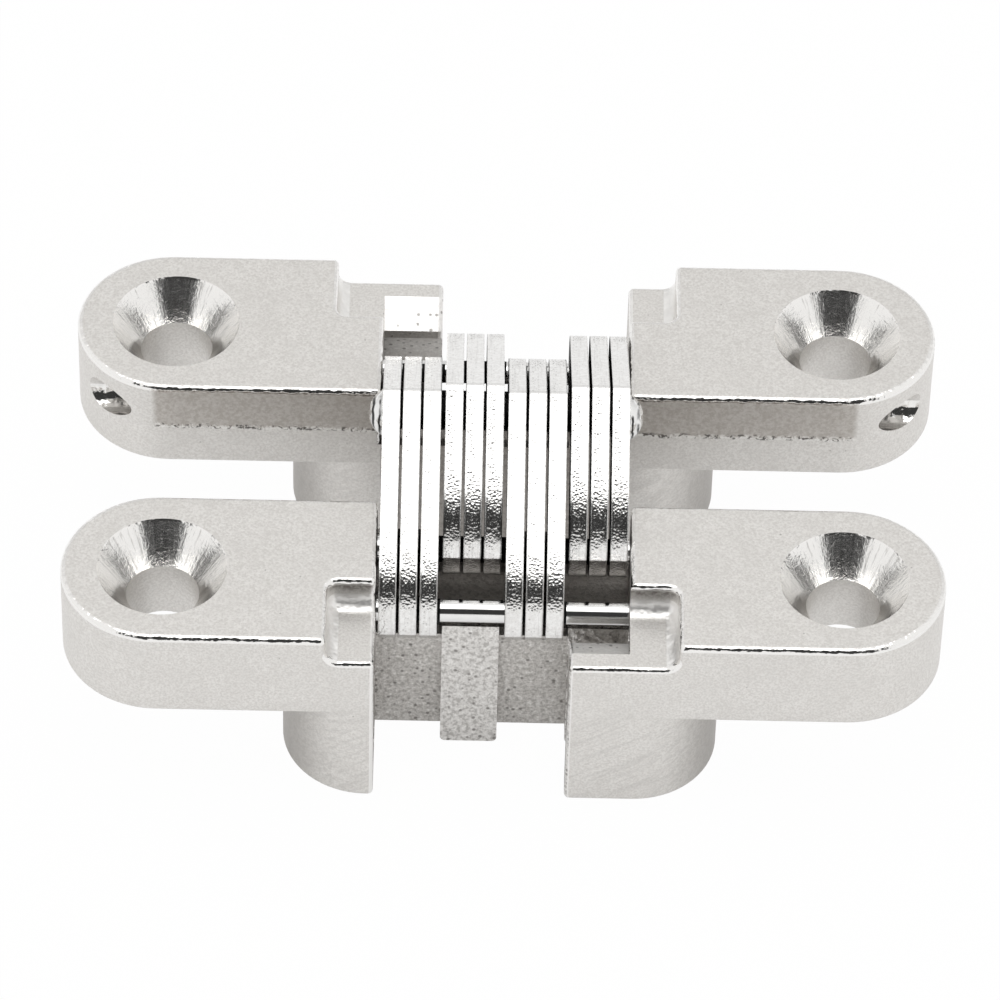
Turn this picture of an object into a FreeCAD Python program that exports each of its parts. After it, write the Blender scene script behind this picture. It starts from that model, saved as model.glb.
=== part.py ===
import FreeCAD, Part
import math
import os

# Concealed door hinge, laid open at 180 degrees.
# Two equal cast leaves are joined by two sets of boomerang links. The sets cross
# at one centre rivet. Each link is pivoted in one leaf near the gap between them,
# and its other end carries a pin that runs in a curved track of the other leaf.
# X runs along the leaves, Y across the gap and Z up out of the leaf faces.
# The origin is under the middle of the hinge, on the plane of the two barrel bottoms.
# All sizes are in millimetres and degrees.

# Leaf casting
leaf_length = 60.0
leaf_width = 13.2
leaf_thickness = 7.2
leaf_gap = 10.2
barrel_length = 29.9
barrel_depth = 15.6
barrel_end_round = 5.8
face_edge_round = 0.4
under_edge_round = 0.2
barrel_edge_round = 0.3
inner_edge_round = 0.35

# Wood screw holes
screw_inset = 6.875
screw_hole_diameter = 5.0
screw_sink_diameter = 8.86
screw_sink_depth = 2.7

# Relief for the rivet heads along the outer edge of each leaf
relief_length = 23.8
relief_width = 5.6
relief_depth = 2.25
relief_floor_round = 1.0
relief_corner_round = 0.8

# Pocket for the links
pocket_side_clearance = 0.18
lane_clearance = 0.2
swing_clearance = 0.3
turning_seat_clearance = 0.39
inner_wall_offset = 0.15
rib_top_offset = -0.3
rib_foot_offset = -1.4
rib_top_drop = 0.1
outer_wall_thickness = 1.45
seat_lip_offset = -3.0

# Links
link_thickness = 1.2
link_gap = 0.2
group_gap = 0.3
links_in_group = 3
group_count = 4
ridge_shift = 0.33
ridge_rise = 2.52
long_flatter = 3.64
long_round_start = 1.1
long_round = 4.29
long_round_sweep = 66.5
long_tip_round = 1.9
short_flatter = 12.27
short_round_start = 1.86
short_round = 6.37
short_round_sweep = 43.0
short_tip_round = 1.7
hub_inner_round = 2.2
inner_corner_round = 1.2
bite_fold = 0.2

# Joint positions in the side view of an open leaf:
# offset from the leaf's middle towards the gap, height above the leaf face
pivot_offset = 4.75
pivot_height = -2.8
centre_height = 3.3
track_top_offset = 0.3
track_top_height = -4.2
closed_face_gap = 0.4

# Pins and rivet
pivot_pin_diameter = 1.8
pivot_pin_reach = 3.6
pivot_access_diameter = 2.6
slide_pin_diameter = 1.6
track_depth = 1.2
track_clearance = 0.15
track_steps = 8
pin_end_gap = 0.15
rivet_diameter = 2.2
rivet_head_diameter = 3.15
rivet_head_height = 0.95
running_clearance = 0.04
seat_clearance = 0.02

# Values worked out from the sizes above
overrun = 2.0
edge_tolerance = 1e-3
edge_round_reach = 0.1
leaf_offset = (leaf_gap + leaf_width) / 2
link_pitch = link_thickness + link_gap
group_width = links_in_group * link_pitch - link_gap
lane_width = group_width + group_gap
stack_half = (group_count * lane_width - group_gap) / 2
screw_spacing = leaf_length - 2 * screw_inset
pocket_half = stack_half + pocket_side_clearance
half_width = leaf_width / 2
X_AXIS = FreeCAD.Vector(1, 0, 0)
Z_AXIS = FreeCAD.Vector(0, 0, 1)
ORIGIN = FreeCAD.Vector(0, 0, 0)


def side(offset, height):
    """Point of the side view, in the plane of symmetry of the near leaf."""
    return FreeCAD.Vector(0, offset - leaf_offset, barrel_depth + height)


def turned(point, centre, degrees):
    """Turn a point of the side view about a centre, from the gap up and over."""
    angle = math.radians(degrees)
    arm = point - centre
    across = arm.y * math.cos(angle) - arm.z * math.sin(angle)
    up = arm.y * math.sin(angle) + arm.z * math.cos(angle)
    return centre + FreeCAD.Vector(0, across, up)


def direction(degrees):
    """Unit vector of the side view at an angle above the way to the gap."""
    angle = math.radians(degrees)
    return FreeCAD.Vector(0, math.cos(angle), math.sin(angle))


def bearing(start, end):
    """Angle of the way from one point of the side view to another."""
    return math.degrees(math.atan2(end.z - start.z, end.y - start.y))


pivot = side(pivot_offset, pivot_height)
centre = side(leaf_offset, centre_height)
track_top = side(track_top_offset, track_top_height)
short_arm = (centre - pivot).Length
long_arm = (track_top - centre).Length
closed_drop = closed_face_gap / 2 - pivot_height
closed_reach = math.sqrt(short_arm ** 2 - closed_drop ** 2)
centre_closed = pivot + FreeCAD.Vector(0, -closed_reach, closed_drop)
pivot_turn = bearing(pivot, centre_closed) - bearing(pivot, centre)
slide_turn = 180 - pivot_turn


def centre_at(fraction):
    """Place of the centre rivet after a fraction of the fold."""
    return turned(centre, pivot, pivot_turn * fraction)


def slide_pin_at(fraction):
    """Place of the slide pin in its leaf after a fraction of the fold."""
    arm = turned(track_top, centre, slide_turn * fraction) - centre
    return centre_at(fraction) + arm


def slide_path():
    """Points of the slide pin's way through its leaf, from open to shut."""
    return [slide_pin_at(i / track_steps) for i in range(track_steps + 1)]


def arc(start, middle, end):
    return Part.Arc(start, middle, end).toShape()


def line(start, end):
    return Part.LineSegment(start, end).toShape()


def face_of(edges):
    return Part.Face(Part.Wire(edges))


def polygon(points):
    return Part.Face(Part.makePolygon(points + [points[0]]))


def prism(face, x_start, width):
    """Solid of a side-view face between x_start and x_start + width."""
    solid = face.extrude(X_AXIS * width)
    solid.translate(X_AXIS * x_start)
    return solid


def rod(point, radius, x_start, x_end):
    """Round bar along X through a point of the side view."""
    base = FreeCAD.Vector(x_start, point.y, point.z)
    return Part.makeCylinder(radius, x_end - x_start, base, X_AXIS)


def opposite(shape):
    """The same shape in the other leaf, half a turn about the vertical."""
    copy = shape.copy()
    copy.rotate(ORIGIN, Z_AXIS, 180)
    return copy


def tangent_point(start, round_centre, radius, sense):
    """Where a line from start touches a round; sense picks the side."""
    lead = bearing(round_centre, start)
    spread = math.degrees(math.acos(radius / (start - round_centre).Length))
    return round_centre + direction(lead + sense * spread) * radius


def shared_tangent(first, first_radius, second, second_radius, sense):
    """Touching points of a line laid along two rounds on the same side."""
    lead = bearing(first, second)
    slack = (first_radius - second_radius) / (second - first).Length
    normal = direction(lead + sense * math.degrees(math.acos(slack)))
    return first + normal * first_radius, second + normal * second_radius


def crossing(first, first_end, second, second_end):
    """Where two lines of the side view meet."""
    a = first_end - first
    b = second_end - second
    gap = second - first
    share = (gap.y * b.z - gap.z * b.y) / (a.y * b.z - a.z * b.y)
    return first + a * share


def bulged_end(ridge, way, slope, straight, radius, sweep):
    """Outer edge of an arm: its straight end, and the middle and end of its round.

    way is -1 towards the near leaf and 1 towards the far one.
    """
    def on_round(degrees):
        start = math.radians(slope)
        angle = math.radians(degrees)
        across = way * radius * (math.sin(angle) - math.sin(start))
        drop = radius * (math.cos(start) - math.cos(angle))
        return straight_end + FreeCAD.Vector(0, across, -drop)

    run = math.radians(slope)
    lead = FreeCAD.Vector(0, way * math.cos(run), -math.sin(run))
    straight_end = ridge + lead * straight
    return straight_end, on_round(slope + sweep / 2), on_round(slope + sweep)


def round_middle(round_centre, start, end):
    """Point of a round halfway between two of its points, on the outer side."""
    radius = (start - round_centre).Length
    halfway = (start + end) * 0.5 - round_centre
    return round_centre + halfway.normalize() * radius


def link_outline():
    """Named points of a link whose long arm reaches into the near leaf."""
    far_pivot = FreeCAD.Vector(0, -pivot.y, pivot.z)
    ridge = centre + FreeCAD.Vector(0, -ridge_shift, ridge_rise)
    long_slope = bearing(track_top, centre) - long_flatter
    short_slope = bearing(pivot, centre) - short_flatter
    long_end, long_middle, long_crease = bulged_end(
        ridge, -1, long_slope, long_arm - long_round_start, long_round, long_round_sweep)
    short_end, short_middle, short_crease = bulged_end(
        ridge, 1, short_slope, short_arm - short_round_start, short_round, short_round_sweep)
    tip_start = tangent_point(long_crease, track_top, long_tip_round, 1)
    hub_long, tip_end = shared_tangent(
        centre, hub_inner_round, track_top, long_tip_round, 1)
    hub_short, foot_end = shared_tangent(
        centre, hub_inner_round, far_pivot, short_tip_round, -1)
    foot_start = tangent_point(short_crease, far_pivot, short_tip_round, -1)
    return {
        "far_pivot": far_pivot, "ridge": ridge,
        "long_end": long_end, "long_middle": long_middle, "long_crease": long_crease,
        "short_end": short_end, "short_middle": short_middle, "short_crease": short_crease,
        "tip_start": tip_start, "tip_end": tip_end,
        "foot_start": foot_start, "foot_end": foot_end,
        "corner": crossing(hub_long, tip_end, hub_short, foot_end),
    }


outline = link_outline()


def inner_corner_arc():
    """Fillet of the hollow side, with its points on the long and the short arm."""
    corner = outline["corner"]
    along_long = (outline["tip_end"] - corner).normalize()
    along_short = (outline["foot_end"] - corner).normalize()
    half = along_long.getAngle(along_short) / 2
    run = inner_corner_round / math.tan(half)
    bisector = (along_long + along_short).normalize()
    hub = corner + bisector * (inner_corner_round / math.sin(half))
    middle = hub - bisector * inner_corner_round
    return corner + along_long * run, middle, corner + along_short * run


def link_face():
    """Side-view face of one link in the open hinge."""
    o = outline
    inner_long, inner_middle, inner_short = inner_corner_arc()
    tip_middle = round_middle(track_top, o["tip_start"], o["tip_end"])
    foot_middle = round_middle(o["far_pivot"], o["foot_start"], o["foot_end"])
    return face_of([
        line(o["ridge"], o["long_end"]),
        arc(o["long_end"], o["long_middle"], o["long_crease"]),
        line(o["long_crease"], o["tip_start"]),
        arc(o["tip_start"], tip_middle, o["tip_end"]),
        line(o["tip_end"], inner_long),
        arc(inner_long, inner_middle, inner_short),
        line(inner_short, o["foot_end"]),
        arc(o["foot_end"], foot_middle, o["foot_start"]),
        line(o["foot_start"], o["short_crease"]),
        arc(o["short_crease"], o["short_middle"], o["short_end"]),
        line(o["short_end"], o["ridge"]),
    ])


def pin_bite_face():
    """Hollow in the long arm that straddles the near leaf's pivot pin when open.

    It opens the way the pin leaves the arm as the hinge starts to fold.
    """
    radius = pivot_pin_diameter / 2 + swing_clearance
    folded = turned(centre + (pivot - centre_at(bite_fold)), centre, -slide_turn * bite_fold)
    out = (folded - pivot).normalize()
    across = FreeCAD.Vector(0, -out.z, out.y) * radius
    mouth = out * (long_arm / 2)
    return face_of([
        line(pivot + across + mouth, pivot + across),
        arc(pivot + across, pivot - out * radius, pivot - across),
        line(pivot - across, pivot - across + mouth),
        line(pivot - across + mouth, pivot + across + mouth),
    ])


def link(index):
    """One link of the set whose long arms reach into the near leaf."""
    group, place = divmod(index, links_in_group)
    x_start = -stack_half + group * lane_width + place * link_pitch
    bite = prism(pin_bite_face(), x_start - overrun, link_thickness + 2 * overrun)
    plate = prism(link_face(), x_start, link_thickness).cut(bite)
    holes = [
        (centre, rivet_diameter),
        (track_top, slide_pin_diameter),
        (outline["far_pivot"], pivot_pin_diameter),
    ]
    for point, diameter in holes:
        radius = diameter / 2 + running_clearance
        plate = plate.cut(rod(point, radius, x_start - overrun, x_start + lane_width))
    return plate


def near_side(point):
    """A point of a link's short arm, mirrored into the near leaf."""
    return FreeCAD.Vector(0, -point.y, point.z)


def plate_blank():
    """Round-ended plate of the leaf, with sharp edges."""
    reach = (leaf_length - leaf_width) / 2
    low = barrel_depth - leaf_thickness
    outer = -leaf_offset - half_width
    inner = -leaf_offset + half_width
    places = [(-reach, outer), (reach, outer), (reach, inner), (-reach, inner)]
    corners = [FreeCAD.Vector(x, y, low) for x, y in places]
    right = FreeCAD.Vector(reach + half_width, -leaf_offset, low)
    left = FreeCAD.Vector(-reach - half_width, -leaf_offset, low)
    rim = face_of([
        line(corners[0], corners[1]),
        arc(corners[1], right, corners[2]),
        line(corners[2], corners[3]),
        arc(corners[3], left, corners[0]),
    ])
    return rim.extrude(Z_AXIS * leaf_thickness)


def edges_at_height(shape, height):
    """Edges that lie wholly at one height over the leaf face."""
    level = barrel_depth + height
    return [e for e in shape.Edges
            if abs(e.BoundBox.ZMin - level) < edge_tolerance
            and abs(e.BoundBox.ZMax - level) < edge_tolerance]


def barrel():
    """Deep part of the casting, a block with large rounds at its ends."""
    corner = FreeCAD.Vector(-barrel_length / 2, -leaf_offset - half_width, 0)
    height = barrel_depth - leaf_thickness / 2
    block = Part.makeBox(barrel_length, leaf_width, height, corner)
    uprights = [e for e in block.Edges if e.BoundBox.ZLength > height / 2]
    block = block.makeFillet(barrel_end_round, uprights)
    return block.makeFillet(barrel_edge_round, edges_at_height(block, -barrel_depth))


def blank():
    """Leaf plate and barrel before anything is cut into them."""
    plate = plate_blank()
    plate = plate.makeFillet(face_edge_round, edges_at_height(plate, 0))
    plate = plate.makeFillet(under_edge_round, edges_at_height(plate, -leaf_thickness))
    return plate.fuse(barrel()).removeSplitter()


def screw_hole(x):
    """Countersunk through hole, as a solid to cut."""
    top = FreeCAD.Vector(x, -leaf_offset, barrel_depth)
    hole_radius = screw_hole_diameter / 2
    sink_radius = screw_sink_diameter / 2
    shaft = Part.makeCylinder(hole_radius, leaf_thickness + 2 * overrun,
                              top - Z_AXIS * (leaf_thickness + overrun), Z_AXIS)
    sink = Part.makeCone(hole_radius, sink_radius, screw_sink_depth,
                         top - Z_AXIS * screw_sink_depth, Z_AXIS)
    mouth = Part.makeCylinder(sink_radius, overrun, top, Z_AXIS)
    return shaft.fuse([sink, mouth])


def rivet_relief():
    """Shallow recess along the outer edge, where the rivet heads lie when shut."""
    low = side(-half_width - overrun, -relief_depth)
    depth = relief_width + overrun
    block = Part.makeBox(relief_length, depth, relief_depth + overrun,
                         FreeCAD.Vector(-relief_length / 2, low.y, low.z))
    back = low.y + depth
    corners = [e for e in block.Edges
               if e.BoundBox.ZLength > relief_depth
               and abs(e.BoundBox.YMin - back) < edge_tolerance]
    block = block.makeFillet(relief_corner_round, corners)
    floor = [e for e in block.Edges
             if e.BoundBox.ZMax < low.z + edge_tolerance
             and e.BoundBox.YMax > low.y + edge_tolerance]
    return block.makeFillet(relief_floor_round, floor)


def slide_lane_face():
    """Side view of what is cut away for the arms that slide in this leaf."""
    hub_long, tip_end = shared_tangent(
        centre, hub_inner_round + swing_clearance,
        track_top, long_tip_round + swing_clearance, 1)
    floor_height = track_top_height - long_tip_round - swing_clearance
    beyond = half_width + overrun
    bend = crossing(hub_long, tip_end, side(0, floor_height), side(1, floor_height))
    mouth = crossing(hub_long, tip_end, side(beyond, 0), side(beyond, 1))
    below = -barrel_depth - overrun
    return polygon([
        side(-beyond, overrun), side(-beyond, below),
        side(inner_wall_offset, below), side(inner_wall_offset, floor_height),
        bend, mouth, side(beyond, overrun),
    ])


def closed_link_depth():
    """How far a shut link reaches below the pivot that it turns on."""
    samples = [outline["short_crease"], outline["short_middle"], outline["short_end"]]
    heights = [turned(near_side(p), pivot, pivot_turn).z for p in samples]
    return pivot.z - min(heights)


def seat_block_face():
    """Side view of the block at the outer edge of the last lane.

    Its sloping top lies under the shut links, and the slide pin passes behind it.
    """
    beyond = half_width + overrun
    below = -barrel_depth - overrun
    corner = side(outer_wall_thickness - half_width, -relief_depth)
    shut = [turned(near_side(outline[name]), pivot, pivot_turn) for name in ("ridge", "short_end")]
    slope_end = corner + (shut[1] - shut[0])
    lip = crossing(corner, slope_end, side(seat_lip_offset, 0), side(seat_lip_offset, below))
    block = polygon([
        side(-beyond, -relief_depth), corner, lip,
        side(seat_lip_offset, below), side(-beyond, below),
    ])
    pin_room = slide_pin_diameter / 2 + track_clearance
    path = slide_path()
    widest = min(path, key=lambda point: point.y)
    shaft_wall = widest.y - pin_room + leaf_offset
    shaft = polygon([
        side(shaft_wall, widest.z - barrel_depth), side(0, widest.z - barrel_depth),
        side(0, below), side(shaft_wall, below),
    ])
    behind = polygon(path + [side(track_top_offset, below)])
    return block.cut([track_face(pin_room), shaft, behind])


def pivot_lane_face():
    """Side view of what is cut away for the arms pivoted in this leaf."""
    seat_radius = closed_link_depth() + turning_seat_clearance
    seat_low = pivot - Z_AXIS * seat_radius
    seat_turn = math.degrees(math.asin((half_width - pivot_offset) / seat_radius))
    seat_end = pivot + direction(-90 + seat_turn) * seat_radius
    seat_middle = pivot + direction(-90 + seat_turn / 2) * seat_radius
    rib_top = side(rib_top_offset, track_top_height - slide_pin_diameter / 2 - rib_top_drop)
    floor_start = side((pivot_offset + rib_top_offset) / 2, seat_low.z - barrel_depth)
    rib_foot = side(rib_foot_offset, -barrel_depth)
    below = rib_foot + (rib_foot - rib_top).normalize() * overrun
    beyond = half_width + overrun
    points = [
        seat_end, side(beyond, seat_end.z - barrel_depth), side(beyond, overrun),
        side(-beyond, overrun), side(-beyond, below.z - barrel_depth), below,
        rib_top, floor_start, seat_low,
    ]
    edges = [line(a, b) for a, b in zip(points, points[1:])]
    edges.append(arc(seat_low, seat_middle, seat_end))
    return face_of(edges)


def pocket():
    """Everything that is cut out of the barrel for the four lanes of links."""
    cuts = []
    for lane in range(group_count):
        x_low = -stack_half + lane * lane_width - group_gap / 2
        x_high = x_low + lane_width
        if lane % 2 == 0:
            low = -pocket_half if lane == 0 else x_low - lane_clearance
            cuts.append(prism(slide_lane_face(), low, x_high + lane_clearance - low))
        else:
            last = lane == group_count - 1
            low = x_low - lane_clearance
            high = pocket_half if last else x_high + lane_clearance
            cut = prism(pivot_lane_face(), low, high - low)
            if last:
                block = seat_block_face().extrude(X_AXIS * leaf_length)
                block.translate(X_AXIS * low)
                cut = cut.cut(block)
            cuts.append(cut)
    return cuts


def spline(points):
    curve = Part.BSplineCurve()
    curve.interpolate(points)
    return curve.toShape()


def track_face(radius):
    """Side view of the room for a round of this radius along the slide pin's path."""
    path = slide_path()
    left = []
    right = []
    for i, point in enumerate(path):
        before = path[max(i - 1, 0)]
        after = path[min(i + 1, track_steps)]
        along = (after - before).normalize()
        normal = FreeCAD.Vector(0, -along.z, along.y)
        left.append(point + normal * radius)
        right.append(point - normal * radius)
    top_end = path[0] - (path[1] - path[0]).normalize() * radius
    low_end = path[-1] + (path[-1] - path[-2]).normalize() * radius
    return face_of([
        spline(left),
        arc(left[-1], low_end, right[-1]),
        spline(right[::-1]),
        arc(right[0], top_end, left[0]),
    ])


def tracks():
    """The two facing tracks in the pocket's side walls."""
    face = track_face(slide_pin_diameter / 2 + track_clearance)
    overlap = pocket_side_clearance / 2
    width = track_depth + overlap
    return [prism(face, pocket_half - overlap, width),
            prism(face, -pocket_half - track_depth, width)]


def edge_points(edge):
    """Both ends and the middle of an edge."""
    first, last = edge.ParameterRange
    return [edge.valueAt(first), edge.valueAt((first + last) / 2), edge.valueAt(last)]


def lies_at(values, target):
    return all(abs(value - target) < edge_tolerance for value in values)


def is_inner_edge(edge):
    """Whether an edge of the pocket or the relief is one that the casting rounds."""
    points = edge_points(edge)
    across = [p.x for p in points]
    offsets = [p.y + leaf_offset for p in points]
    heights = [p.z - barrel_depth for p in points]
    block_side = pocket_half - lane_width - pocket_side_clearance + lane_clearance + group_gap / 2
    on_pocket_side = lies_at(across, -pocket_half) or lies_at(across, pocket_half)
    beside_pocket = lies_at(across, -pocket_half) or lies_at(across, block_side)
    at_front = max(offsets) < -half_width + edge_round_reach
    within_relief = max(abs(x) for x in across) < relief_length / 2 + edge_tolerance
    above_floor = min(heights) > -relief_depth - edge_tolerance
    below_rim = max(heights) < -edge_round_reach
    beside_block = lies_at(across, block_side) and max(offsets) < seat_lip_offset + edge_tolerance
    if lies_at(heights, 0):
        in_relief = max(offsets) < -half_width + relief_width + edge_tolerance
        return on_pocket_side or (in_relief and within_relief)
    if above_floor and below_rim and at_front:
        return within_relief
    if beside_block and min(heights) > -leaf_thickness:
        return True
    if lies_at(heights, -relief_depth):
        return beside_pocket
    if lies_at(heights, -barrel_depth):
        is_lane_side = lies_at(across, across[0]) and max(offsets) < inner_wall_offset + edge_tolerance
        behind_block = lies_at(across, pocket_half)
        return (is_lane_side and not behind_block) or lies_at(offsets, inner_wall_offset)
    upright = max(heights) - min(heights) > relief_depth
    return upright and at_front and beside_pocket


def leaf():
    """Near leaf casting with all its openings."""
    tools = [screw_hole(-screw_spacing / 2), screw_hole(screw_spacing / 2), rivet_relief()]
    tools.extend(pocket())
    tools.extend(tracks())
    body = blank().cut(tools)
    body = body.makeFillet(inner_edge_round, [e for e in body.Edges if is_inner_edge(e)])
    bore = rod(pivot, pivot_pin_diameter / 2 + seat_clearance, -leaf_length, leaf_length)
    reach = pocket_half + pivot_pin_reach
    access_radius = pivot_access_diameter / 2
    access = [rod(pivot, access_radius, -leaf_length, -reach),
              rod(pivot, access_radius, reach, leaf_length)]
    return body.cut([bore] + access)


def pivot_pin():
    """Plain pin pressed through the casting, on which one set of links turns."""
    reach = pocket_half + pivot_pin_reach - pin_end_gap
    return rod(pivot, pivot_pin_diameter / 2, -reach, reach)


def slide_pin():
    """Plain pin through the long arms, with its ends in the tracks."""
    reach = pocket_half + track_depth - pin_end_gap
    return rod(track_top, slide_pin_diameter / 2, -reach, reach)


def rivet_head(way):
    """Domed head on one end of the stack; way is -1 for left and 1 for right."""
    seat = way * (stack_half + seat_clearance)
    radius = rivet_head_diameter / 2
    top = FreeCAD.Vector(seat + way * rivet_head_height, centre.y, centre.z)
    rim = FreeCAD.Vector(seat, centre.y, centre.z + radius)
    middle = FreeCAD.Vector(seat, centre.y, centre.z)
    dome_radius = (radius ** 2 + rivet_head_height ** 2) / (2 * rivet_head_height)
    hub_x = seat + way * (rivet_head_height - dome_radius)
    half_turn = math.asin(radius / dome_radius) / 2
    shoulder = FreeCAD.Vector(hub_x + way * dome_radius * math.cos(half_turn), centre.y,
                              centre.z + dome_radius * math.sin(half_turn))
    outline_face = face_of([line(middle, rim), arc(rim, shoulder, top), line(top, middle)])
    return outline_face.revolve(middle, X_AXIS, 360)


def centre_rivet():
    """Rivet on which the two sets of links cross, with a head at each end."""
    reach = stack_half + seat_clearance
    shank = rod(centre, rivet_diameter / 2, -reach - seat_clearance, reach + seat_clearance)
    return shank.fuse([rivet_head(-1), rivet_head(1)]).removeSplitter()


def nodes():
    """Every piece of the hinge, by name, where it lies in the open hinge."""
    near_leaf = leaf()
    pieces = {
        "frame_leaf": near_leaf,
        "door_leaf": opposite(near_leaf),
        "frame_pivot_pin": pivot_pin(),
        "door_pivot_pin": opposite(pivot_pin()),
        "frame_slide_pin": slide_pin(),
        "door_slide_pin": opposite(slide_pin()),
        "centre_rivet": centre_rivet(),
    }
    link_count = group_count * links_in_group
    for index in range(link_count):
        if (index // links_in_group) % 2 == 0:
            pieces["link_%02d" % (index + 1)] = link(index)
        else:
            pieces["link_%02d" % (index + 1)] = opposite(link(link_count - 1 - index))
    return pieces


def main():
    os.makedirs("parts", exist_ok=True)
    for name, shape in nodes().items():
        shape.exportStep("parts/" + name + ".step")


if __name__ == "__main__":
    main()
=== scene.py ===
import math
from types import SimpleNamespace
import bpy
from mathutils import Matrix, Vector

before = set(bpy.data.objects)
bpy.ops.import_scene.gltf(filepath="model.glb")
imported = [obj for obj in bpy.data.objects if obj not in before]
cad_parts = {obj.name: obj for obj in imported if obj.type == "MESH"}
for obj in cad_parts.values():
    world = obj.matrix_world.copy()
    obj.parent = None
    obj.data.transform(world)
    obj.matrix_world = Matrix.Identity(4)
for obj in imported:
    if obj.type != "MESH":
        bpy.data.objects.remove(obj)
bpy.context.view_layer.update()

# Sizes of the CAD model that the looks refer to, in millimetres
LEAF_OFFSET = 11.7
LEAF_FACE = 15.6
LEAF_THICKNESS = 7.2
HALF_WIDTH = 6.6
GAP_HALF = 5.1
PARTING_DEPTH = 3.7
POCKET_HALF = 8.63
BAY_DEPTH = 2.3
STACK_HALF = 8.45
LANE_PITCH = 4.3
LINK_PITCH = 1.4
LINK_THICKNESS = 1.2
GROUP_GAP = 0.3
HOLE_ALONG = 23.125
SINK_RADIUS = 4.43
RELIEF_HALF = 11.9
RELIEF_WIDTH = 5.6
SEAT_ACROSS = 14.6
RIDGE_HEIGHT = 21.42
SLIDE_CREASE = 15.2
PIVOT_CREASE = 17.84
RIVET_HEIGHT = 18.9
RIVET_RADIUS = 1.1
HEAD_HEIGHT = 0.95
HEAD_REACH = 2.0

# Bevels that only the shading has, in metres
LINK_EDGE = 0.00018
PIN_EDGE = 0.00006

# Camera, in millimetres and degrees
CAMERA_AZIMUTH = -0.6
CAMERA_ELEVATION = 46.6
CAMERA_ROLL = 1.6
CAMERA_DISTANCE = 489.0
CAMERA_TARGET = (-0.26, 0.0, 10.42)
CAMERA_LENS = 253.8
SENSOR_WIDTH = 36.0
MM = 0.001

# Floor, in metres, and how bright the room is
FLOOR_RADIUS = 3.0
FLOOR_SINK = 0.00002
FLOOR_POINTS = 64
FLOOR_SEEN = 0.98
FLOOR_MIRRORED = 0.4
ROOM_STRENGTH = 0.92
ROOM_FALL = 0.20
CEILING_STRENGTH = 1.4
DARK_STRENGTH = 0.04

# Colours of the casting
CAST_DULL = (0.695, 0.675, 0.65, 1.0)
CAST_LIGHT = (0.86, 0.845, 0.822, 1.0)
CAST_CLOUD = (0.71, 0.692, 0.667, 1.0)
SCRATCH = (0.90, 0.885, 0.865, 1.0)
STROKE = (0.48, 0.465, 0.445, 1.0)
NICK = (0.30, 0.285, 0.27, 1.0)
BARREL_END_SHADE = (0.36, 0.34, 0.32, 1.0)
SLOPE = (0.93, 0.92, 0.905, 1.0)
SINK_STREAK = (0.25, 0.235, 0.22, 1.0)
PARTING_SHADE = (0.42, 0.385, 0.35, 1.0)
CRUMB = (0.16, 0.15, 0.14, 1.0)
GLINT = (0.95, 0.94, 0.92, 1.0)
COVE_WALL_SHADE = (0.26, 0.24, 0.225, 1.0)
BAY_WALL_SHADE = (0.42, 0.395, 0.37, 1.0)
BAY_MOTTLE = (0.22, 0.205, 0.19, 1.0)
PIT = (0.14, 0.13, 0.12, 1.0)
POCKET_MOUTH_SHADE = (0.12, 0.11, 0.10, 1.0)

# Colours of the links and pins
LINK_DULL = (0.82, 0.812, 0.80, 1.0)
LINK_LIGHT = (0.93, 0.928, 0.92, 1.0)
DRAWN_STREAK = (0.55, 0.54, 0.53, 1.0)
LINK_DOT = (0.25, 0.24, 0.23, 1.0)
RIDGE_LINE = (0.45, 0.44, 0.43, 1.0)
LINK_SIDE_SHADE = (0.02, 0.02, 0.018, 1.0)
PIN_DULL = (0.84, 0.84, 0.835, 1.0)
PIN_LIGHT = (0.92, 0.92, 0.915, 1.0)
HEAD_RING_REFLECTION = (0.04, 0.04, 0.04, 1.0)
PIN_GAP_SHADE = (0.02, 0.02, 0.02, 1.0)


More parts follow.
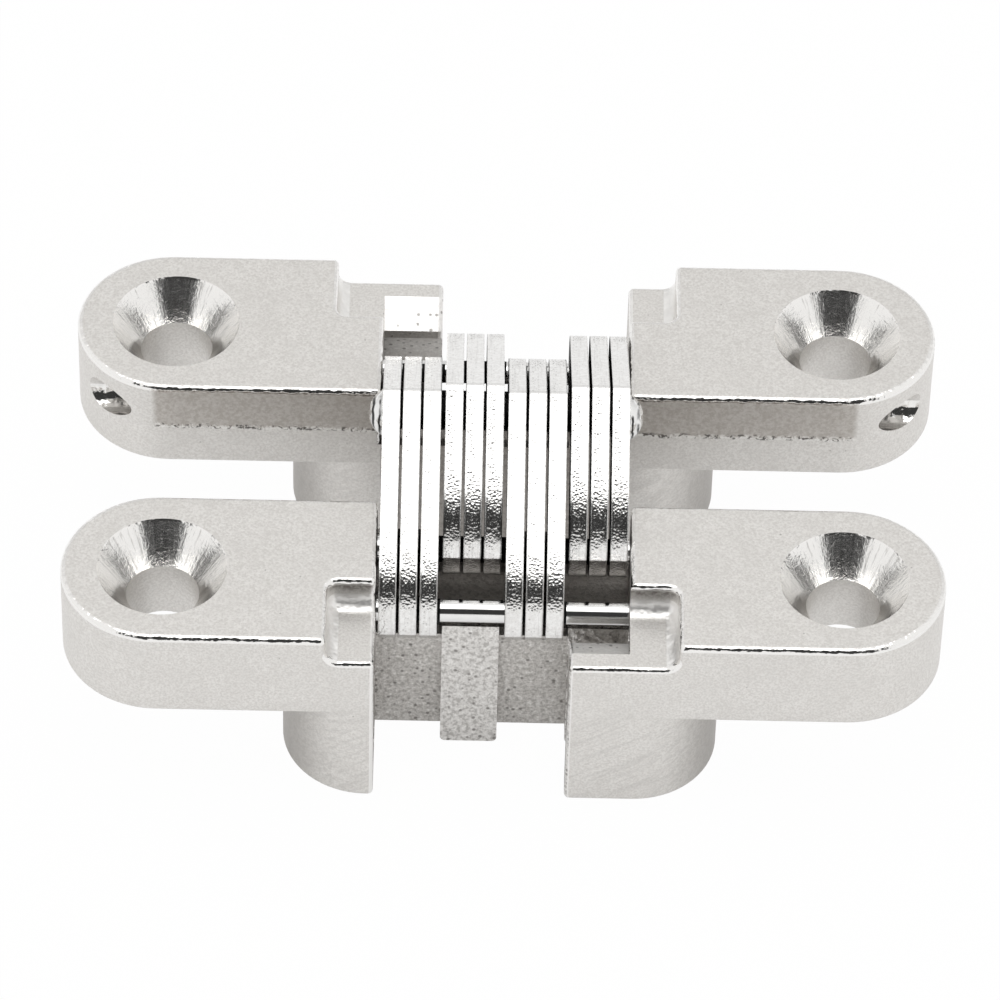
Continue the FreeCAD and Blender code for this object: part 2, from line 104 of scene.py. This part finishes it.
class Nodes:
    """Short way to build a node tree: values and sockets go in, an output socket comes out."""

    def __init__(self, tree):
        self.tree = tree
        tree.nodes.clear()

    def new(self, kind):
        return self.tree.nodes.new("ShaderNode" + kind)

    def put(self, made, name, value):
        """Links a socket to an input, or sets the input to a number."""
        if isinstance(value, bpy.types.NodeSocket):
            self.tree.links.new(value, made.inputs[name])
        else:
            made.inputs[name].default_value = value

    def math(self, operation, *values):
        made = self.new("Math")
        made.operation = operation
        for index, value in enumerate(values):
            self.put(made, index, value)
        return made.outputs[0]

    def times(self, first, *others):
        for other in others:
            first = self.math("MULTIPLY", first, other)
        return first

    def plus(self, first, second):
        return self.math("ADD", first, second)

    def minus(self, first, second):
        return self.math("SUBTRACT", first, second)

    def over(self, first, second):
        return self.math("DIVIDE", first, second)

    def left_over(self, first, second):
        """What is left of the first value once the second has been taken off as often as it fits."""
        return self.math("MODULO", first, second)

    def most(self, first, second):
        return self.math("MAXIMUM", first, second)

    def under(self, first, second):
        return self.math("LESS_THAN", first, second)

    def above(self, first, second):
        return self.math("GREATER_THAN", first, second)

    def size_of(self, value):
        return self.math("ABSOLUTE", value)

    def apart(self, first, second):
        """Distance between two places on one line."""
        return self.size_of(self.minus(first, second))

    def reach(self, first, second):
        """Distance from the middle of a plane."""
        return self.math("SQRT", self.plus(self.times(first, first), self.times(second, second)))

    def line(self, value, start, slope):
        """The start, and the slope for each unit of the value."""
        return self.plus(start, self.times(value, slope))

    def step(self, value, low, high):
        """Smooth rise from 0 to 1 between low and high, or fall where low is the larger."""
        made = self.new("MapRange")
        made.interpolation_type = "SMOOTHSTEP"
        for name, number in (("Value", value), ("From Min", low), ("From Max", high)):
            self.put(made, name, number)
        return made.outputs["Result"]

    def noise(self, place, scale, detail=2.0, rough=0.5, distortion=0.0):
        made = self.new("TexNoise")
        for name, value in (("Vector", place), ("Scale", scale), ("Detail", detail),
                            ("Roughness", rough), ("Distortion", distortion)):
            self.put(made, name, value)
        return made.outputs[0]

    def cells(self, place, scale):
        """Distance from the middle of random cells, and a random number for each cell."""
        made = self.new("TexVoronoi")
        self.put(made, "Vector", place)
        self.put(made, "Scale", scale)
        return made.outputs["Distance"], self.parts(made.outputs["Color"])[0]

    def spots(self, place, scale, radius, share):
        """Round spots in a share of the cells."""
        distance, chance = self.cells(place, scale)
        return self.times(self.step(distance, radius, 0.5 * radius), self.under(chance, share))

    def mix(self, share, first, second):
        """Blend of two colours."""
        made = self.new("Mix")
        made.data_type = "RGBA"
        for index, value in ((0, share), (6, first), (7, second)):
            self.put(made, index, value)
        return made.outputs[2]

    def tint(self, colour, shade, *shares):
        """Lays a shade over a colour, as strongly as all the shares together."""
        return self.mix(self.times(*shares), colour, shade)

    def blend(self, share, first, second):
        """Blend of two numbers."""
        made = self.new("Mix")
        made.data_type = "FLOAT"
        for index, value in ((0, share), (2, first), (3, second)):
            self.put(made, index, value)
        return made.outputs[0]

    def place(self, scale=(1000.0, 1000.0, 1000.0), turn=(0.0, 0.0, 0.0)):
        """The piece's own coordinates, turned and scaled; the plain scale gives millimetres."""
        turned = self.new("Mapping")
        self.put(turned, "Vector", self.new("TexCoord").outputs["Object"])
        self.put(turned, "Rotation", turn)
        scaled = self.new("VectorMath")
        scaled.operation = "MULTIPLY"
        self.put(scaled, 0, turned.outputs[0])
        self.put(scaled, 1, scale)
        return scaled.outputs[0]

    def parts(self, vector):
        made = self.new("SeparateXYZ")
        self.put(made, 0, vector)
        return made.outputs

    def facing(self):
        """Direction that the surface faces, in the piece's own coordinates."""
        return self.parts(self.new("TexCoord").outputs["Normal"])

    def bump(self, height, distance, strength=1.0, normal=None):
        made = self.new("Bump")
        self.put(made, "Height", height)
        self.put(made, "Distance", distance)
        self.put(made, "Strength", strength)
        if normal is not None:
            self.put(made, "Normal", normal)
        return made.outputs[0]

    def bevel(self, radius):
        made = self.new("Bevel")
        made.samples = 4
        self.put(made, "Radius", radius)
        return made.outputs[0]

    def metal(self, colour, roughness, normal):
        shader = self.new("BsdfPrincipled")
        self.put(shader, "Base Color", colour)
        self.put(shader, "Metallic", 1.0)
        self.put(shader, "Roughness", roughness)
        self.put(shader, "Normal", normal)
        self.put(self.new("OutputMaterial"), "Surface", shader.outputs[0])


def new_material(name):
    material = bpy.data.materials.new(name)
    material.use_nodes = True
    return material, Nodes(material.node_tree)


def casting_places(n):
    """Where each kind of surface lies on a leaf: distances in millimetres, and shares of 0 to 1."""
    at = SimpleNamespace()
    x, y, z = n.parts(n.place())[:3]
    at.depth = n.minus(LEAF_FACE, z)
    at.along = n.size_of(x)
    at.across = n.size_of(y)
    at.front = n.minus(LEAF_OFFSET + HALF_WIDTH, at.across)
    facing = n.facing()
    upward = facing["Z"]
    at.endways = n.size_of(facing["X"])
    at.sideways = n.size_of(facing["Y"])

    at.sloped = n.times(n.step(upward, 0.04, 0.12), n.step(upward, 0.992, 0.97))
    corner = n.times(n.step(at.endways, 0.12, 0.3), n.step(at.sideways, 0.12, 0.3))
    by_bay = n.times(n.step(at.along, 10.0, 9.4), n.under(upward, 0.5))
    at.polished = n.most(at.sloped, n.times(corner, by_bay))

    at.in_bay = n.times(n.step(at.along, POCKET_HALF + 0.05, POCKET_HALF - 0.02),
                        n.step(at.depth, BAY_DEPTH, BAY_DEPTH + 0.2),
                        n.step(at.front, 0.02, 0.07))
    at.on_seat = n.times(n.under(at.along, POCKET_HALF),
                         n.step(at.across, SEAT_ACROSS, SEAT_ACROSS + 0.05),
                         n.step(at.depth, BAY_DEPTH - 0.3, BAY_DEPTH),
                         n.step(at.front, 1.2, 1.4))
    at.off_seat = n.times(at.in_bay, n.blend(at.on_seat, 1.0, 0.25))
    at.cove = n.times(n.step(at.along, RELIEF_HALF + 0.1, RELIEF_HALF),
                      n.step(at.front, RELIEF_WIDTH + 0.1, RELIEF_WIDTH),
                      n.step(at.depth, 0.3, 0.5),
                      n.step(at.depth, BAY_DEPTH + 0.1, BAY_DEPTH - 0.05),
                      n.step(at.front, 0.3, 0.6))
    at.inner_face = n.times(n.step(n.apart(at.across, GAP_HALF), 0.12, 0.05),
                            n.under(at.depth, LEAF_THICKNESS))
    at.deep = n.step(at.across, LEAF_OFFSET - 0.25, LEAF_OFFSET - 0.45)
    # where painted shade goes: deep polished surfaces at the pocket mouth
    at.at_mouth = n.times(n.step(at.along, POCKET_HALF - 0.02, POCKET_HALF - 0.1), at.deep, at.polished)
    return at


def add_countersink(n, at, look):
    """Adds the slope of the countersink to the places, and its radial streaks to the textures."""
    from_hole_x = n.minus(at.along, HOLE_ALONG)
    from_hole_y = n.minus(at.across, LEAF_OFFSET)
    from_hole = n.reach(from_hole_x, from_hole_y)
    at.cone = n.times(n.step(from_hole, SINK_RADIUS, SINK_RADIUS - 0.15), at.sloped)
    around = n.new("CombineXYZ")
    n.put(around, 0, n.times(n.over(from_hole_x, from_hole), 9.0))
    n.put(around, 1, n.times(n.over(from_hole_y, from_hole), 9.0))
    n.put(around, 2, n.times(from_hole, 0.5))
    look.streak = n.noise(around.outputs[0], 1.0, 3.0, 0.7)


def casting_textures(n):
    """Random textures of the plate, from the finest grain to the widest clouds."""
    look = SimpleNamespace()
    place = n.place()
    look.grain = n.noise(place, 6.0, 3.0, 0.65)
    look.mottle = n.noise(place, 3.2, 4.0, 0.75)
    look.speckle = n.noise(place, 2.6, 2.0, 0.7, 0.6)
    look.waves = n.noise(place, 0.9, 2.0, 0.6)
    look.cloud = n.noise(place, 0.45, 3.0, 0.55)
    look.pits = n.spots(place, 2.2, 0.36, 0.34)
    look.nicks = n.spots(place, 0.8, 0.07, 0.25)
    look.brushed = n.noise(n.place((350.0, 5200.0, 5200.0), (0.0, 0.0, 0.75)), 1.0, 2.0, 0.6)
    look.crossed = n.noise(n.place((350.0, 5200.0, 5200.0), (0.0, 0.3, -0.6)), 1.0, 2.0, 0.6)
    look.strokes = n.noise(n.place((130.0, 3000.0, 3000.0), (0.0, 0.55, 0.0)), 1.0, 2.0, 0.55, 0.2)
    return look


def plate_colour(n, at, look):
    """Satin plate with scratches and nicks, strokes on the barrel, painted shade on the barrel ends,
    and polished slopes.
    """
    colour = n.mix(n.step(look.grain, 0.31, 0.69), CAST_DULL, CAST_LIGHT)
    colour = n.tint(colour, CAST_CLOUD, n.step(look.cloud, 0.35, 0.7), 0.3)
    colour = n.tint(colour, SCRATCH, n.step(n.most(look.brushed, look.crossed), 0.60, 0.72), 0.35)
    on_barrel = n.times(n.step(at.depth, 5.0, 9.0), n.step(at.sideways, 0.2, 0.5))
    colour = n.tint(colour, STROKE, n.step(look.strokes, 0.46, 0.62), on_barrel, 0.22)
    colour = n.tint(colour, NICK, look.nicks, 0.5)
    # painted shade: the ends of the barrels are darkened where they face sideways
    barrel_end_shade = n.times(n.step(at.endways, 0.35, 0.95),
                         n.step(at.depth, LEAF_THICKNESS - 0.2, LEAF_THICKNESS + 0.4))
    colour = n.tint(colour, BARREL_END_SHADE, barrel_end_shade, 0.5)
    colour = n.tint(colour, SLOPE, at.polished)
    return n.tint(colour, SINK_STREAK, at.cone, n.step(look.streak, 0.55, 0.68), 0.4)


def parting_colour(n, at, look, colour):
    """Painted shade in a band above the parting line of each inner face, with crumbs and painted glints
    on the line.
    """
    line_depth = n.line(look.waves, at.depth, 0.4)
    above_line = n.step(line_depth, PARTING_DEPTH + 0.3, PARTING_DEPTH + 0.1)
    blotched = n.line(n.step(look.mottle, 0.4, 0.62), 0.50, 0.30)
    # painted shade over the inner face above the parting line, blotched by the mottle
    colour = n.tint(colour, PARTING_SHADE, at.inner_face, above_line, blotched)
    on_line = n.times(n.step(n.apart(line_depth, PARTING_DEPTH + 0.2), 0.30, 0.10), at.inner_face)
    colour = n.tint(colour, CRUMB, on_line, n.step(look.speckle, 0.53, 0.60))
    # painted glints along the parting line
    return n.tint(colour, GLINT, on_line, n.step(look.speckle, 0.47, 0.42), 0.6)


def recess_colour(n, at, look, colour):
    """Painted shade on the rougher walls of the relief beside the links and in the link bay, and at the
    pocket mouth; mottle, painted glints and pits in the bay.
    """
    # painted shade on the back wall of the relief, strongest just under the rim
    cove_wall_shade = n.times(at.cove, n.step(at.sideways, 0.35, 0.8), n.step(at.depth, 1.35, 0.6))
    colour = n.tint(colour, COVE_WALL_SHADE, cove_wall_shade, n.line(n.step(look.speckle, 0.38, 0.62), 0.5, 0.45))
    # painted shade on the walls of the link bay, darker deep in the bay
    colour = n.tint(colour, BAY_WALL_SHADE, at.off_seat, n.blend(at.deep, 0.38, 0.85))
    colour = n.tint(colour, BAY_MOTTLE, at.off_seat, n.step(look.mottle, 0.49, 0.58), 0.45)
    shallow = n.times(at.in_bay, n.minus(1.0, at.deep))
    # painted glints in the shallow part of the bay
    colour = n.tint(colour, GLINT, shallow, n.step(look.mottle, 0.45, 0.36), 0.6)
    colour = n.tint(colour, PIT, shallow, look.pits, 0.7)
    # painted shade at the pocket mouth
    return n.tint(colour, POCKET_MOUTH_SHADE, at.at_mouth, 0.8)


def casting_roughness(n, at, look):
    satin = n.line(look.grain, 0.36, 0.12)
    bright = n.line(look.speckle, 0.05, 0.12)
    roughness = n.blend(at.polished, satin, bright)
    roughness = n.blend(at.cone, roughness, n.line(look.streak, 0.08, 0.22))
    roughness = n.blend(n.times(at.polished, at.cove), roughness, 0.42)
    roughness = n.blend(n.times(at.polished, at.on_seat), roughness, 0.3)
    return n.blend(at.at_mouth, roughness, 0.6)


def casting_relief(n, at, look):
    """Small bumps of the plate, weaker where it is polished."""
    free_slope = n.times(at.polished, n.minus(1.0, at.on_seat))
    normal = n.bump(look.grain, 0.00002, n.blend(at.polished, 0.7, 0.15))
    normal = n.bump(n.plus(look.brushed, look.crossed), 0.00001, n.blend(at.polished, 0.5, 0.0), normal)
    normal = n.bump(look.speckle, 0.00004, n.line(free_slope, 0.1, 0.4), normal)
    normal = n.bump(look.streak, 0.00012, n.times(at.cone, 0.18), normal)
    normal = n.bump(look.waves, 0.0002, n.times(n.minus(free_slope, at.cone), 0.9), normal)
    return n.bump(look.mottle, 0.00005, n.times(at.off_seat, 0.7), normal)


def casting_material():
    """Satin nickel plate: brushed flats, polished slopes and rims, pitted link bays."""
    material, n = new_material("satin_casting")
    at = casting_places(n)
    look = casting_textures(n)
    add_countersink(n, at, look)
    colour = plate_colour(n, at, look)
    colour = parting_colour(n, at, look, colour)
    colour = recess_colour(n, at, look, colour)
    n.metal(colour, casting_roughness(n, at, look), casting_relief(n, at, look))
    return material


def odd_lane(n, from_end):
    """0 in the first and third lane of three links, 1 in the second and fourth."""
    return n.left_over(n.math("FLOOR", n.over(from_end, LANE_PITCH)), 2.0)


def link_material():
    """Bright nickel plate on stamped edges; the flat sides between links get painted near-black shade.
    """
    material, n = new_material("stamped_link")
    place = n.place()
    x, y, z = n.parts(place)[:3]
    from_end = n.plus(x, STACK_HALF)
    in_link = n.over(n.left_over(n.left_over(from_end, LANE_PITCH), LINK_PITCH), LINK_THICKNESS)
    short_arm = n.apart(odd_lane(n, from_end), n.above(y, 0.0))
    above_crease = n.minus(z, n.blend(short_arm, SLIDE_CREASE, PIVOT_CREASE))
    crease = n.times(n.step(above_crease, 0.9, 0.1), n.step(above_crease, -2.4, -1.6))
    torn_half = n.times(n.step(in_link, 0.02, 0.14), n.step(in_link, 0.85, 0.35))
    torn_whole = n.times(n.step(in_link, 0.06, 0.2), n.step(in_link, 1.0, 0.8))
    torn = n.blend(crease, torn_half, torn_whole)
    below_ridge = n.minus(RIDGE_HEIGHT, z)
    by_ridge = n.times(n.step(below_ridge, 0.10, 0.16), n.step(below_ridge, 0.34, 0.26))
    # painted shade: the flat sides of the plates inside the stack, where they face each other, turn
    # near-black
    flat_side = n.step(n.size_of(n.facing()["X"]), 0.8, 0.95)
    between = n.times(flat_side, n.step(n.size_of(x), STACK_HALF - 0.02, STACK_HALF - 0.1))

    fine = n.noise(place, 3.0, 3.0, 0.6)
    drawn = n.noise(n.place((5200.0, 260.0, 260.0)), 1.0, 3.0, 0.7)
    mottle = n.noise(n.place((2600.0, 1700.0, 1700.0)), 1.0, 3.0, 0.65, 0.3)
    bubbles, chance = n.cells(place, 5.6)
    dots = n.times(n.step(bubbles, 0.5, 0.2), n.under(chance, 0.3))

    colour = n.mix(n.step(fine, 0.35, 0.7), LINK_DULL, LINK_LIGHT)
    colour = n.tint(colour, DRAWN_STREAK, n.step(drawn, 0.52, 0.66), 0.30)
    colour = n.tint(colour, LINK_DOT, dots, torn, n.blend(n.most(short_arm, crease), 0.35, 0.5))
    colour = n.tint(colour, RIDGE_LINE, by_ridge, 0.3)
    # painted shade on the flat sides between the plates
    colour = n.tint(colour, LINK_SIDE_SHADE, between)
    roughness = n.blend(between, n.line(mottle, 0.06, 0.16), 0.7)

    bubbled = n.times(torn, n.blend(crease, n.blend(short_arm, 0.25, 0.5), 0.85))
    normal = n.bump(drawn, 0.00001, 0.35, n.bevel(LINK_EDGE))
    normal = n.bump(mottle, 0.00008, n.blend(between, 0.35, 0.0), normal)
    normal = n.bump(bubbles, 0.00004, n.blend(between, bubbled, 0.0), normal)
    n.metal(colour, roughness, normal)
    return material


def gaps_between_links(n, x, only_lane):
    """Share of a pin that lies between plates and gets painted shade.

    A slide pin names its own lane, 0 for the first and third and 1 for the second and fourth.
    Its gaps get painted shade there, and in the other lanes on the side towards the rivet.
    Other pins name None, and get painted shade between the lanes too.
    """
    from_end = n.plus(x, STACK_HALF)
    in_lane = n.left_over(from_end, LANE_PITCH)
    in_gap = n.above(n.left_over(in_lane, LINK_PITCH), LINK_THICKNESS - 0.01)
    in_stack = n.under(n.size_of(x), STACK_HALF)
    if only_lane is None:
        beside = n.above(in_lane, LANE_PITCH - GROUP_GAP - 0.02)
        return n.times(n.most(in_gap, beside), in_stack)
    own_lane = n.math("COMPARE", odd_lane(n, from_end), float(only_lane), 0.1)
    inward = n.times(n.facing()["Y"], 1.0 if only_lane == 0 else -1.0)
    return n.times(in_gap, in_stack, n.most(own_lane, n.above(inward, 0.1)))


def head_reflection_rings(n, outward, on_head, wander):
    """Broken rings of painted dark reflection near the tip and the foot of each rivet head."""
    wavy = n.line(wander, outward, 0.5)
    near_tip = n.step(n.apart(wavy, 0.86), 0.13, 0.05)
    near_foot = n.step(n.apart(wavy, 0.42), 0.12, 0.04)
    return n.times(n.most(near_tip, near_foot), on_head, n.step(wander, 0.62, 0.45))


def pin_material(name, only_lane=None):
    """Drawn and polished steel, with painted shade between the plates and inside the rivet's holes, and
    painted dark reflections on the rivet heads.
    """
    material, n = new_material(name)
    place = n.place()
    x, y, z = n.parts(place)[:3]
    outward = n.over(n.minus(n.size_of(x), STACK_HALF), HEAD_HEIGHT)
    on_head = n.times(n.step(outward, 0.0, 0.05), n.under(n.size_of(y), HEAD_REACH))
    from_rivet = n.reach(y, n.minus(z, RIVET_HEIGHT))
    on_shank = n.times(n.under(n.size_of(x), STACK_HALF), n.under(from_rivet, RIVET_RADIUS + 0.05))
    # where painted shade goes: the rivet's shank and the pins between the plates
    dark = n.most(on_shank, gaps_between_links(n, x, only_lane))

    wander = n.noise(n.place((700.0, 900.0, 900.0)), 1.0, 2.0, 0.5)
    drawn = n.noise(n.place((300.0, 9000.0, 9000.0)), 1.0, 2.0, 0.5)
    colour = n.mix(n.noise(place, 2.0, 2.0, 0.5), PIN_DULL, PIN_LIGHT)
    # painted dark reflections on the rivet heads
    colour = n.tint(colour, HEAD_RING_REFLECTION, head_reflection_rings(n, outward, on_head, wander))
    # painted shade: near-black over the pins between plates and in the rivet's holes
    colour = n.tint(colour, PIN_GAP_SHADE, dark)
    roughness = n.blend(dark, n.line(drawn, 0.05, 0.08), 0.6)
    normal = n.bump(drawn, 0.000004, 0.3, n.bevel(PIN_EDGE))
    normal = n.bump(wander, 0.0002, n.times(on_head, 0.6), normal)
    n.metal(colour, roughness, normal)
    return material


def floor_material():
    """White floor that keeps only a soft shadow of the object."""
    material, n = new_material("pale_floor")
    rays = n.new("LightPath").outputs
    mirrored = n.most(rays["Is Glossy Ray"], rays["Is Transmission Ray"])
    share = n.most(n.times(rays["Is Camera Ray"], FLOOR_SEEN), n.times(mirrored, FLOOR_MIRRORED))
    diffuse = n.new("BsdfDiffuse")
    diffuse.inputs["Color"].default_value = (0.96, 0.96, 0.96, 1.0)
    glow = n.new("Emission")
    glow.inputs["Color"].default_value = (1.0, 1.0, 1.0, 1.0)
    both = n.new("MixShader")
    for index, value in enumerate((share, diffuse.outputs[0], glow.outputs[0])):
        n.put(both, index, value)
    n.put(n.new("OutputMaterial"), "Surface", both.outputs[0])
    return material


def studio_world():
    """Bright room with a brighter ceiling and a dark patch in front of the frame leaf."""
    world = bpy.data.worlds.new("studio")
    world.use_nodes = True
    bpy.context.scene.world = world
    n = Nodes(world.node_tree)
    x, y, z = n.parts(n.new("TexCoord").outputs["Generated"])[:3]
    towards_front = n.over(n.times(y, -1.0), n.most(n.reach(x, y), 0.001))
    dark = n.times(n.step(towards_front, 0.74, 0.86), n.step(z, 0.20, 0.27), n.step(z, 0.93, 0.88))
    bright = n.minus(ROOM_STRENGTH, n.times(n.step(y, 0.2, 0.9), ROOM_FALL))
    bright = n.plus(bright, n.times(n.step(z, 0.90, 0.97), CEILING_STRENGTH))
    strength = n.blend(dark, bright, DARK_STRENGTH)
    strength = n.blend(n.new("LightPath").outputs["Is Camera Ray"], strength, 1.0)
    background = n.new("Background")
    background.inputs["Color"].default_value = (1.0, 0.995, 0.985, 1.0)
    n.put(background, "Strength", strength)
    n.put(n.new("OutputWorld"), "Surface", background.outputs[0])


def floor():
    """Round floor under the barrels, one piece of mesh."""
    turns = [2 * math.pi * index / FLOOR_POINTS for index in range(FLOOR_POINTS)]
    points = [(FLOOR_RADIUS * math.cos(turn), FLOOR_RADIUS * math.sin(turn), 0.0) for turn in turns]
    mesh = bpy.data.meshes.new("floor")
    mesh.from_pydata(points, [], [list(range(FLOOR_POINTS))])
    made = bpy.data.objects.new("floor", mesh)
    bpy.context.scene.collection.objects.link(made)
    made.location = (0.0, 0.0, -FLOOR_SINK)
    mesh.materials.append(floor_material())


def camera():
    """Camera from above the front, turned a little about its own line of sight."""
    azimuth = math.radians(CAMERA_AZIMUTH)
    elevation = math.radians(CAMERA_ELEVATION)
    roll = math.radians(CAMERA_ROLL)
    back = Vector((math.sin(azimuth) * math.cos(elevation),
                   -math.cos(azimuth) * math.cos(elevation), math.sin(elevation)))
    level_right = Vector((math.cos(azimuth), math.sin(azimuth), 0.0))
    level_up = back.cross(level_right)
    right = level_right * math.cos(roll) + level_up * math.sin(roll)
    up = back.cross(right)
    place = (Vector(CAMERA_TARGET) + back * CAMERA_DISTANCE) * MM
    data = bpy.data.cameras.new("camera")
    data.lens = CAMERA_LENS
    data.sensor_width = SENSOR_WIDTH
    data.clip_start = 0.01
    made = bpy.data.objects.new("camera", data)
    bpy.context.scene.collection.objects.link(made)
    turn = Matrix((right, up, back)).transposed().to_4x4()
    made.matrix_world = Matrix.Translation(place) @ turn
    bpy.context.scene.camera = made


def dress_nodes():
    """Gives every CAD node its material."""
    casting = casting_material()
    link = link_material()
    steel = pin_material("polished_pin")
    slide_pins = {
        "frame_slide_pin": pin_material("polished_slide_pin_frame", 0),
        "door_slide_pin": pin_material("polished_slide_pin_door", 1),
    }
    for name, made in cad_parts.items():
        if name.endswith("leaf"):
            chosen = casting
        elif name.startswith("link"):
            chosen = link
        else:
            chosen = slide_pins.get(name, steel)
        made.data.materials.clear()
        made.data.materials.append(chosen)


studio_world()
floor()
camera()
dress_nodes()

bpy.context.scene.view_settings.view_transform = "Standard"
